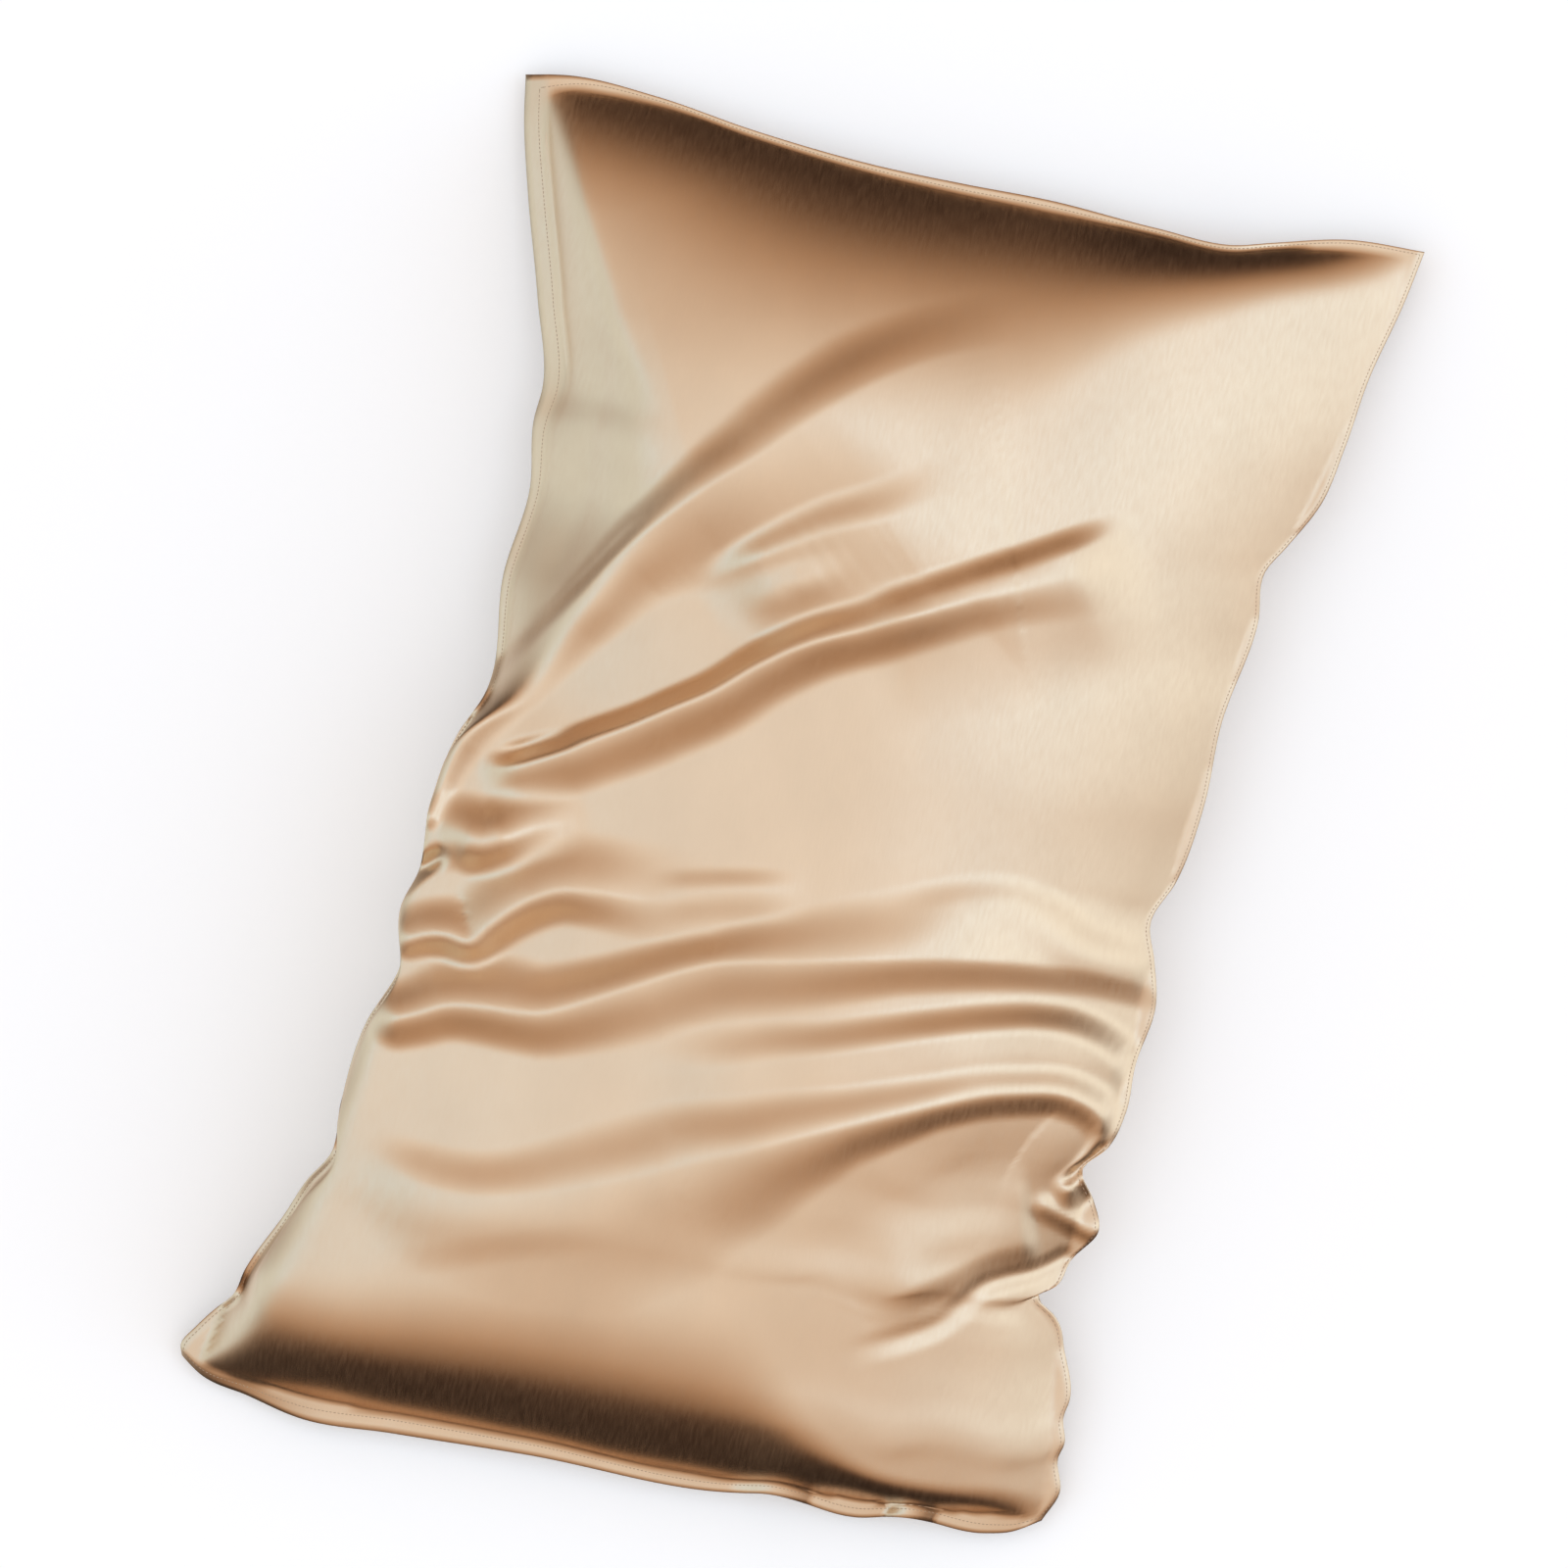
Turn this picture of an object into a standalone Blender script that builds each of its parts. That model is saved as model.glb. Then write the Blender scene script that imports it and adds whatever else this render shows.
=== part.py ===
"""A satin pillowcase with its pillow inside, lying on its back.

The filled case is one closed body: the crowned front with its long folds, the flat-lying
belly below, and the sewn lip that joins them all round.  +X runs across the case, +Y along
it towards the plain short end, +Z up.  The origin is at the bottom centre.
"""

from collections import namedtuple

import bmesh
import bpy
import numpy as np

MM = 0.001

# ---------------------------------------------------------------- driving sizes, in mm
CROWN_RISE = 84.0          # filling above the seam line, at the middle of the front
BELLY_DROP = 62.0          # filling below the seam line, before the surface flattens it
LIP_THICKNESS = 3.0        # turned and sewn layers of cloth along the edge
END_ROUNDNESS = 3.0        # 2 is a plain arch, more is steeper at the seam
LEFT_ROUNDNESS = 2.6
RIGHT_ROUNDNESS = 2.0
LEFT_STEEP = 0.78          # share of the left climb that its short reach makes
LEFT_FAR = 170.0           # reach of its gentle rest
LEFT_FAR_ROUNDNESS = 2.0
SWELL_RISE = 13.0          # how far in the left bulge is widest
SWELL_FALL = 65.0          # how much further in it has died away
CALM_REACH = 60.0          # the crown follows each edge's line averaged this far both ways
BELLY_ROUNDNESS = 2.0
BELLY_REACH = 95.0         # how far in from the seam the belly turns level
RIM_LIFT = 0.6             # share of a fold's height that reaches the seam
RIM_FADE = 16.0            # folds come to their full height over this width beside the seam
NARROWEST_SLOPE = 16.0     # what the cells can still show
PLAN_SHIFT = (-4.8, 11.2)  # brings the middle of the outline to the origin

COLUMNS = 40               # cells across the case
ROWS = 94                  # cells along it, closer because the folds run across

SATIN_COLOUR = (0.74, 0.56, 0.38, 1.0)
SATIN_ROUGHNESS = 0.38
SATIN_METALLIC = 0.35

# ---------------------------------------------------------------- outline, in mm
# at: place along the edge.  out: where the edge lies across.  seam: height of the seam.
# lip: width of the sewn lip.
EdgeRow = namedtuple("EdgeRow", "at out seam lip")

LEFT_SIDE = (
    EdgeRow(-380, -256, 12, 4),
    EdgeRow(-373, -258, 13, 4),
    EdgeRow(-360, -251, 16, 4),
    EdgeRow(-347, -239, 19, 3),
    EdgeRow(-325, -233, 22, 3),
    EdgeRow(-290, -219, 27, 3),
    EdgeRow(-250, -201, 33, 3),
    EdgeRow(-222, -203, 35, 3),
    EdgeRow(-176, -200, 37, 3),
    EdgeRow(-140, -188, 38, 3),
    EdgeRow(-104, -195, 38, 3),
    EdgeRow(-84, -190, 39, 3),
    EdgeRow(-45, -193, 40, 3),
    EdgeRow(12, -180, 40, 4),
    EdgeRow(85, -185, 40, 6),
    EdgeRow(131, -182, 38, 7),
    EdgeRow(187, -189, 35, 11),
    EdgeRow(235, -203, 30, 13),
    EdgeRow(290, -222, 24, 13),
    EdgeRow(354, -239, 14, 12),
)

RIGHT_SIDE = (
    EdgeRow(-356, 228, 10, 4),
    EdgeRow(-338, 234, 14, 3),
    EdgeRow(-320, 229, 18, 3),
    EdgeRow(-286, 227, 23, 3),
    EdgeRow(-243, 207, 28, 3),
    EdgeRow(-235, 196, 29, 3),
    EdgeRow(-226, 206, 30, 3),
    EdgeRow(-192, 220, 33, 3),
    EdgeRow(-162, 203, 35, 3),
    EdgeRow(-146, 214, 35, 3),
    EdgeRow(-120, 219, 36, 3),
    EdgeRow(-62, 221, 38, 3),
    EdgeRow(-21, 208, 38, 3),
    EdgeRow(5, 216, 39, 3),
    EdgeRow(50, 221, 40, 3),
    EdgeRow(95, 220, 40, 3),
    EdgeRow(155, 226, 38, 3),
    EdgeRow(184, 224, 36, 3),
    EdgeRow(225, 244, 33, 3),
    EdgeRow(300, 254, 26, 3),
    EdgeRow(376, 267, 18, 3),
)

TOP_END = (
    EdgeRow(-239, 354, 14, 12),
    EdgeRow(-215, 359, 15, 6),
    EdgeRow(-165, 359, 17, 4),
    EdgeRow(-110, 354, 20, 4),
    EdgeRow(-35, 351, 22, 5),
    EdgeRow(50, 354, 22, 5),
    EdgeRow(120, 353, 21, 4),
    EdgeRow(165, 355, 20, 3),
    EdgeRow(185, 361, 20, 3),
    EdgeRow(225, 372, 19, 3),
    EdgeRow(267, 376, 18, 3),
)

HEM_END = (
    EdgeRow(-256, -380, 12, 4),
    EdgeRow(-215, -393, 12, 6),
    EdgeRow(-186, -398, 13, 10),
    EdgeRow(-132, -394, 14, 11),
    EdgeRow(-60, -388, 15, 9),
    EdgeRow(66, -379, 15, 7),
    EdgeRow(130, -378, 14, 8),
    EdgeRow(150, -372, 13, 8),
    EdgeRow(200, -370, 11, 8),
    EdgeRow(228, -356, 10, 4),
)

# ---------------------------------------------------------------- crown, in mm
# at: place along the edge.  reach: how far in from that edge the front still climbs.
ReachRow = namedtuple("ReachRow", "at reach")

LEFT_REACH = (ReachRow(-380, 28), ReachRow(-330, 30), ReachRow(-260, 26),
              ReachRow(-200, 22), ReachRow(-45, 20), ReachRow(0, 20), ReachRow(30, 26),
              ReachRow(60, 38), ReachRow(100, 60), ReachRow(140, 78), ReachRow(180, 76),
              ReachRow(214, 56), ReachRow(250, 38), ReachRow(290, 30), ReachRow(354, 28))
RIGHT_REACH = (ReachRow(-356, 260), ReachRow(-250, 205), ReachRow(-170, 195),
               ReachRow(60, 200), ReachRow(220, 240), ReachRow(376, 340))
TOP_REACH = (ReachRow(-239, 140), ReachRow(-170, 150), ReachRow(-100, 160),
             ReachRow(0, 144), ReachRow(60, 132), ReachRow(120, 80), ReachRow(180, 47),
             ReachRow(267, 36))
HEM_REACH = (ReachRow(-256, 70), ReachRow(-170, 88), ReachRow(-120, 104),
             ReachRow(-60, 111), ReachRow(0, 109), ReachRow(50, 92), ReachRow(90, 48),
             ReachRow(125, 26), ReachRow(228, 22))

# at: place along the left side.  reach: how far the filling bulges out over the lip there.
LEFT_SWELL = (ReachRow(-380, 0), ReachRow(-350, 0), ReachRow(-320, 9), ReachRow(-200, 11),
              ReachRow(0, 11), ReachRow(30, 6), ReachRow(60, 0), ReachRow(354, 0))

# ---------------------------------------------------------------- folds, in mm
# path: the line of the crest or valley, from left to right.  height: above (or below) the
# crown, evenly spaced along the path.  upper, lower: width of the slope on each side.
# ends: share of the path over which the fold rises from nothing, at each end.
# crisp: 0 is a rounded crest, 1 a pressed one.  flat: how far its top stays level each way.
FoldRow = namedtuple("FoldRow", "name path height upper lower ends crisp flat")

FOLDS = (
    FoldRow("long_roll",
            ((-196, -55), (-192, -12), (-176, 20), (-152, 60), (-128, 101), (-100, 138),
             (-65, 175), (-37, 207), (-12, 231), (16, 251), (80, 275)),
            (12, 16, 18, 19, 20, 17, 13), (16, 16, 16, 16, 20, 23, 26, 28, 30),
            (16, 24, 28, 28, 34, 90, 150, 180, 220, 220, 220), (0.0, 0.3), 0.2, 0),
    FoldRow("upper_middle_crease",
            ((-73, 92), (-42, 123), (-17, 145), (14, 164), (60, 190)),
            (8, 11, 11, 9, 6), (16, 18, 24, 28, 30), (50, 70, 80, 80), (0.12, 0.45), 0.0, 0),
    FoldRow("upper_right_crease",
            ((10, 104), (40, 121), (70, 137), (115, 164), (150, 194)),
            (3, 6, 9, 10, 7), (16, 16), (70, 80), (0.15, 0.3), 0.0, 0),
    FoldRow("twin_fold_crest",
            ((-172, -28), (-130, -6), (-95, 18), (-57, 46), (-36, 66), (-12, 83.5),
             (18, 99), (70, 129), (120, 153), (175, 182)),
            (8, 16, 19, 18, 16, 11, 5, 2, 0), (16, 16, 16, 18, 20, 24, 28),
            (20, 28, 30, 28, 24, 20, 30), (0.06, 0.2), 0.2, 0),
    FoldRow("waist_knuckle",
            ((-184, -66), (-160, -63), (-140, -51), (-105, -33)),
            (6, 15, 15, 6, 0), (26, 26), (22, 22), (0.0, 0.2), 0.0, 0),
    FoldRow("tuck_lip",
            ((-186, -124), (-165, -117), (-146, -108), (-126, -87), (-112, -79),
             (-70, -74), (-5, -62)),
            (10, 13, 15, 15, 13, 9, 6, 4, 2), (20, 28, 34, 34, 30), (16, 20, 24, 24),
            (0.0, 0.45), 0.2, 0),
    FoldRow("waist_crease",
            ((-182, -168), (-158, -155), (-120, -149), (-95, -141), (-60, -120),
             (-20, -98), (20, -87), (80, -71), (110, -64), (150, -57), (212, -54)),
            (13, 15, 15, 13, 12, 11, 9, 8, 6), (22, 32, 24, 20, 34, 44, 44, 44),
            (20, 26, 36, 32, 22, 18, 16), (0.0, 0.0), 0.2, 0),
    FoldRow("waist_step",
            ((-60, -183), (0, -158), (50, -138), (80, -126), (140, -104), (180, -98),
             (215, -122)),
            (3, 6, 10, 13, 16, 18), (34, 28, 24, 23, 23, 26), (100, 100), (0.25, 0.0), 0.0, 4),
    FoldRow("lower_roll",
            ((-192, -236), (-145, -254), (-120, -253), (-60, -233), (0, -203), (60, -173),
             (120, -143), (160, -128), (180, -124), (206, -131), (212, -149), (199, -172)),
            (4, 8, 9, 11, 13, 10, 9, 12, 14), (18, 26, 28, 32, 38, 34, 28, 24, 20, 18, 16),
            (30, 44, 60, 74, 70, 46, 25, 17, 16, 16, 16), (0.1, 0.0), 0.1, 0),
    FoldRow("corner_crease",
            ((100, -264), (126, -244), (146, -229), (166, -214), (190, -204)),
            (3, 5, 6, 6), (50, 50), (18, 16), (0.3, 0.1), 0.0, 0),
    FoldRow("roll_shoulder",
            ((-200, 150), (-150, 165), (-100, 190), (-60, 215), (0, 250), (60, 275)),
            (10, 13, 6, 0), (120, 120), (90, 90), (0.2, 0.4), 0.0, 0),
)

PATH_STEPS = 40            # short straight runs that stand for one fold's curve
EDGE_POINTS = 400          # places at which an edge's own line is read
CALM_POINTS = 41           # places over which it is averaged
LEVEL = 1e-7               # metres above the surface that still count as lying on it


def through(places, values, wanted):
    """Read a smooth curve through the given values at the wanted places."""
    places = np.asarray(places, float)
    values = np.asarray(values, float)
    slopes = np.gradient(values, places)
    cell = np.clip(np.searchsorted(places, wanted, side="right") - 1, 0, len(places) - 2)
    span = places[cell + 1] - places[cell]
    t = np.clip((wanted - places[cell]) / span, 0.0, 1.0)
    t2 = t * t
    t3 = t2 * t
    return ((2 * t3 - 3 * t2 + 1) * values[cell] + (t3 - 2 * t2 + t) * span * slopes[cell]
            + (3 * t2 - 2 * t3) * values[cell + 1] + (t3 - t2) * span * slopes[cell + 1])


def read_edge(rows, share):
    """Give an edge's place, offset, seam height and lip width at shares 0 to 1 of it."""
    at = [row.at for row in rows]
    place = at[0] + share * (at[-1] - at[0])
    out = through(at, [row.out for row in rows], place)
    seam = through(at, [row.seam for row in rows], place)
    lip = np.interp(place, at, [row.lip for row in rows])
    return place, out, seam, lip


def read_reach(rows, place):
    """Give how far in the front climbs from an edge, at the given places along it."""
    return through([row.at for row in rows], [row.reach for row in rows], place)


def edge_swing(rows, share):
    """Give how far an edge swings out of its own averaged line at shares 0 to 1 of it."""
    line = np.linspace(0.0, 1.0, EDGE_POINTS)
    steps = np.linspace(-CALM_REACH, CALM_REACH, CALM_POINTS) / (rows[-1].at - rows[0].at)
    calm = np.mean([read_edge(rows, np.clip(line + step, 0.0, 1.0))[1] for step in steps],
                   axis=0)
    return np.interp(share, line, read_edge(rows, line)[1] - calm)


def arch(distance, reach, roundness):
    """Rise from 0 at the seam to 1 at the given reach, steepest at the seam."""
    left = 1.0 - np.clip(distance / reach, 0.0, 1.0)
    return 1.0 - left ** roundness


def blend_edges(u, v, left, right, hem, top):
    """Fill the space between four edge curves (a Coons patch)."""
    corners = ((1 - u) * (1 - v) * left[0] + u * (1 - v) * right[0]
               + (1 - u) * v * left[1] + u * v * right[1])
    return (1 - u) * left[2] + u * right[2] + (1 - v) * hem + v * top - corners


def lay_out(u, v):
    """Place the points of the case in plan, with seam height and distance from each edge."""
    left_y, left_x, left_seam, left_lip = read_edge(LEFT_SIDE, v)
    right_y, right_x, right_seam, right_lip = read_edge(RIGHT_SIDE, v)
    hem_x, hem_y, hem_seam, hem_lip = read_edge(HEM_END, u)
    top_x, top_y, top_seam, top_lip = read_edge(TOP_END, u)
    first, last = LEFT_SIDE[0], LEFT_SIDE[-1]
    far_first, far_last = RIGHT_SIDE[0], RIGHT_SIDE[-1]
    x = blend_edges(u, v, (first.out, last.out, left_x), (far_first.out, far_last.out, right_x),
                    hem_x, top_x)
    y = blend_edges(u, v, (first.at, last.at, left_y), (far_first.at, far_last.at, right_y),
                    hem_y, top_y)
    seam = blend_edges(u, v, (first.seam, last.seam, left_seam),
                       (far_first.seam, far_last.seam, right_seam), hem_seam, top_seam)
    width = right_x - left_x
    length = top_y - hem_y
    inside = {
        "left": u * width - left_lip, "right": (1 - u) * width - right_lip,
        "hem": v * length - hem_lip, "top": (1 - v) * length - top_lip,
    }
    from_left = np.maximum(inside["left"], 0.0)
    x = x - read_reach(LEFT_SWELL, y) * ease(from_left, SWELL_RISE) * (
        1 - ease(from_left - SWELL_RISE, SWELL_FALL))
    return x, y, seam, inside


def swings(u, v):
    """Give how far each edge swings out beside the points u, v."""
    return {"left": edge_swing(LEFT_SIDE, v), "right": -edge_swing(RIGHT_SIDE, v),
            "hem": edge_swing(HEM_END, u), "top": -edge_swing(TOP_END, u)}


def spread(index, count, first_lip, last_lip, size):
    """Give cell line number index its share: one narrow cell for each lip, even ones between."""
    even = (index - 1) / (count - 2)
    share = first_lip / size + even * (1 - (first_lip + last_lip) / size)
    share = np.where(index == 0, 0.0, share)
    return np.where(index == count, 1.0, share)


def fold_height(row, x, y):
    """Height that one fold adds at the points x, y."""
    path = np.array(row.path, float)
    knots = np.r_[0.0, np.cumsum(np.hypot(*np.diff(path, axis=0).T))]
    run = np.linspace(0.0, knots[-1], PATH_STEPS + 1)
    line_x = through(knots, path[:, 0], run)
    line_y = through(knots, path[:, 1], run)
    step_x, step_y = np.diff(line_x), np.diff(line_y)
    step = np.hypot(step_x, step_y)
    away_x = x[:, None] - line_x[None, :-1]
    away_y = y[:, None] - line_y[None, :-1]
    along = np.clip((away_x * step_x + away_y * step_y) / step ** 2, 0.0, 1.0)
    distance = np.hypot(away_x - along * step_x, away_y - along * step_y)
    nearest = np.argmin(distance, axis=1)
    pick = np.arange(len(x)), nearest
    turn = (step_x[nearest] * away_y[pick] - step_y[nearest] * away_x[pick]) / step[nearest]
    side = np.clip(turn / np.maximum(distance[pick], 1e-6), -1.0, 1.0)
    share = (nearest + along[pick]) / PATH_STEPS

    def along_path(values):
        """Read evenly spaced values at each point's share of the path."""
        return np.interp(share, np.linspace(0.0, 1.0, len(values)), values)

    upper, lower = along_path(row.upper), along_path(row.lower)
    width = np.maximum(lower + (upper - lower) * (0.5 + 0.5 * side), NARROWEST_SLOPE)
    near = np.clip((distance[pick] - row.flat) / width, 0.0, 1.0)
    rounded = 0.5 + 0.5 * np.cos(np.pi * near)
    pressed = (1.0 - near) ** 2
    rise = ease(share, row.ends[0]) * ease(1.0 - share, row.ends[1])
    return along_path(row.height) * rise * ((1 - row.crisp) * rounded + row.crisp * pressed)


def ease(share, length):
    """Climb smoothly from 0 to 1 over the first stretch of a path, or be 1 if it has none."""
    if length == 0:
        return np.ones_like(share)
    t = np.clip(share / length, 0.0, 1.0)
    return t * t * (3 - 2 * t)


def crown_height(x, y, inside, swing):
    """Height that the filling gives the front above the seam."""
    far = {name: np.maximum(inside[name], 0.0) + swing[name] for name in inside}
    left = (LEFT_STEEP * arch(far["left"], read_reach(LEFT_REACH, y), LEFT_ROUNDNESS)
            + (1 - LEFT_STEEP) * arch(far["left"], LEFT_FAR, LEFT_FAR_ROUNDNESS))
    return (CROWN_RISE * left
            * arch(far["right"], read_reach(RIGHT_REACH, y), RIGHT_ROUNDNESS)
            * arch(far["hem"], read_reach(HEM_REACH, x), END_ROUNDNESS)
            * arch(far["top"], read_reach(TOP_REACH, x), END_ROUNDNESS))


def heights(x, y, seam, inside, swing, is_front):
    """Height of the crowned and folded front, or of the belly, level where it lies."""
    nearest = np.maximum(np.minimum.reduce(list(inside.values())), 0.0)
    inward = ease(nearest, RIM_FADE)
    crown = crown_height(x, y, inside, swing)
    folds = sum(fold_height(row, x, y) for row in FOLDS)
    if is_front:
        return seam + LIP_THICKNESS / 2 + crown + (RIM_LIFT + (1 - RIM_LIFT) * inward) * folds
    belly = np.ones_like(seam)
    for distance in inside.values():
        belly = belly * arch(distance, BELLY_REACH, BELLY_ROUNDNESS)
    at_rim = (crown + RIM_LIFT * folds) * (1 - inward)
    return np.maximum(seam - LIP_THICKNESS / 2 - BELLY_DROP * belly + at_rim, 0.0)


def start_block(bm):
    """Make a flat grid of cells and pull it up into a thin closed block."""
    bmesh.ops.create_grid(bm, x_segments=COLUMNS, y_segments=ROWS, size=0.5)
    under = list(bm.verts)
    pulled = bmesh.ops.extrude_face_region(bm, geom=list(bm.faces), use_keep_orig=True)
    over = [item for item in pulled["geom"] if isinstance(item, bmesh.types.BMVert)]
    bmesh.ops.translate(bm, verts=over, vec=(0.0, 0.0, 1.0))
    return under, over


def shape(verts, is_front):
    """Move one layer of the block to its place on the case."""
    flat = np.array([vert.co[:2] for vert in verts]) + 0.5
    column = np.rint(flat[:, 0] * COLUMNS)
    row = np.rint(flat[:, 1] * ROWS)
    near_v, near_u = row / ROWS, column / COLUMNS
    left_lip = read_edge(LEFT_SIDE, near_v)[3]
    right_lip = read_edge(RIGHT_SIDE, near_v)[3]
    hem_lip = read_edge(HEM_END, near_u)[3]
    top_lip = read_edge(TOP_END, near_u)[3]
    width = read_edge(RIGHT_SIDE, near_v)[1] - read_edge(LEFT_SIDE, near_v)[1]
    length = read_edge(TOP_END, near_u)[1] - read_edge(HEM_END, near_u)[1]
    u = spread(column, COLUMNS, left_lip, right_lip, width)
    v = spread(row, ROWS, hem_lip, top_lip, length)
    x, y, seam, inside = lay_out(u, v)
    z = heights(x, y, seam, inside, swings(u, v), is_front)
    placed = np.column_stack((x + PLAN_SHIFT[0], y + PLAN_SHIFT[1], z)) * MM
    for vert, place in zip(verts, placed):
        vert.co = place


def join_resting_patch(bm):
    """Make the level patch under the belly one flat face."""
    level = [face for face in bm.faces if all(vert.co.z < LEVEL for vert in face.verts)]
    bmesh.ops.dissolve_faces(bm, faces=level, use_verts=True)


def satin():
    """Champagne satin."""
    material = bpy.data.materials.new("champagne_satin")
    material.use_nodes = True
    shader = material.node_tree.nodes["Principled BSDF"]
    shader.inputs["Base Color"].default_value = SATIN_COLOUR
    shader.inputs["Roughness"].default_value = SATIN_ROUGHNESS
    shader.inputs["Metallic"].default_value = SATIN_METALLIC
    return material


def filled_pillowcase():
    """Build the filled case as one closed body."""
    bm = bmesh.new()
    under, over = start_block(bm)
    shape(over, is_front=True)
    shape(under, is_front=False)
    join_resting_patch(bm)
    bmesh.ops.recalc_face_normals(bm, faces=list(bm.faces))
    mesh = bpy.data.meshes.new("filled_pillowcase")
    bm.to_mesh(mesh)
    bm.free()
    mesh.shade_smooth()
    case = bpy.data.objects.new("filled_pillowcase", mesh)
    case.data.materials.append(satin())
    bpy.context.scene.collection.objects.link(case)
    return case


def main():
    """Clear the scene and build the part."""
    for old in list(bpy.data.objects):
        bpy.data.objects.remove(old, do_unlink=True)
    filled_pillowcase()


main()
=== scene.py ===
"""Looks for a champagne satin pillowcase that lies, filled, on its back.

The case's outline, crown and folds are given in millimetres on the case itself: x runs
across it, y runs along it towards the plain short end, and z is the height above the
surface that it lies on.  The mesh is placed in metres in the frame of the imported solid.
"""

import logging
import math
from collections.abc import Sequence
from dataclasses import dataclass, field
from enum import Enum
from typing import NamedTuple

import bmesh
import bpy
import numpy as np
from bpy.types import Material, NodeSocket as Socket, NodeTree, Object
from mathutils import Euler, Matrix, Vector


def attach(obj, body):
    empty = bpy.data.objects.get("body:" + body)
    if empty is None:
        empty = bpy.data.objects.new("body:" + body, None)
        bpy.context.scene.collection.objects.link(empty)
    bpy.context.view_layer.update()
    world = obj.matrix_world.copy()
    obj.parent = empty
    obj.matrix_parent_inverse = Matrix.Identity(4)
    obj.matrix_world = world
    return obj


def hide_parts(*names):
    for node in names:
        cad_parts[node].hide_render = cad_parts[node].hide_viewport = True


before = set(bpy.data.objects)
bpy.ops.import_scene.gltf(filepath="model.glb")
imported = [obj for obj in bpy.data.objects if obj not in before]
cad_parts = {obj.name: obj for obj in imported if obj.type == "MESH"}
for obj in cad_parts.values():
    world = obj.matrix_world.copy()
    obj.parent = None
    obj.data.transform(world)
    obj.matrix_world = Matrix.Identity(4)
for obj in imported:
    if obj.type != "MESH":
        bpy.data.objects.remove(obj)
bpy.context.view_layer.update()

LOG = logging.getLogger("pillowcase")

MM = 0.001
SOLID = "filled_pillowcase"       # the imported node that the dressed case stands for

PHOTO_SCALE_MM = 0.54             # millimetres of the case to one pixel of the photograph
PHOTO_SIZE_PX = 1600
PHOTO_TURN_DEG = 13.7             # how far the case leans over in the photograph
VIEW_CENTRE_MM = (-11.9, 17.5)    # the point of the case at the middle of the photograph
PLAN_SHIFT_MM = (-4.8, 11.2)      # brings the middle of the outline to the frame's origin

EDGE_POINTS = 400                 # places at which an edge's own line is read
CALM_POINTS = 41                  # places over which its calm line is averaged
NO_GAP_MM = 1e-6                  # a point this near to a fold's line lies on it
CLOTH_MAP = "cloth"               # the UV map that holds the cloth's directions, in metres

Array = np.ndarray
Colour = tuple[float, float, float]
Feed = Socket | Colour | float | None   # what a node's socket can be fed with


# ---------------- curves and slopes
def through(places: Sequence[float], values: Sequence[float], wanted: Array) -> Array:
    """Read a smooth curve through given values.

    Args:
        places: where the values stand, in rising order.
        values: the values themselves.
        wanted: the places to read.

    Returns:
        One value for each wanted place.
    """
    at = np.asarray(places, float)
    value = np.asarray(values, float)
    slope = np.gradient(value, at)
    cell = np.clip(np.searchsorted(at, wanted, side="right") - 1, 0, len(at) - 2)
    span = at[cell + 1] - at[cell]
    t = np.clip((wanted - at[cell]) / span, 0.0, 1.0)
    t2, t3 = t * t, t * t * t
    return ((2 * t3 - 3 * t2 + 1) * value[cell] + (t3 - 2 * t2 + t) * span * slope[cell]
            + (3 * t2 - 2 * t3) * value[cell + 1] + (t3 - t2) * span * slope[cell + 1])


def ease(share: Array, length: float) -> Array:
    """Climb smoothly from 0 to 1 over the first stretch of something.

    Args:
        share: how far along each point is.
        length: where the climb ends; 0 means there is no climb.

    Returns:
        The climb at each point, 0 to 1.
    """
    if length <= 0:
        return np.ones_like(share)
    t = np.clip(share / length, 0.0, 1.0)
    return t * t * (3 - 2 * t)


def arch(distance: Array, reach: Array | float, roundness: float) -> Array:
    """Rise from 0 at the seam to 1 at the given reach, steepest at the seam."""
    left = 1.0 - np.clip(distance / reach, 0.0, 1.0)
    return 1.0 - left ** roundness


# ---------------- the outline
class Sewn(NamedTuple):
    """One place on an edge, in mm: where along it, where across, seam height, lip width."""

    at: float
    out: float
    seam: float
    lip: float


class Measure(Enum):
    """What an edge tells about the cloth beside it."""

    X = "x"
    Y = "y"
    SEAM = "seam"


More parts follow.
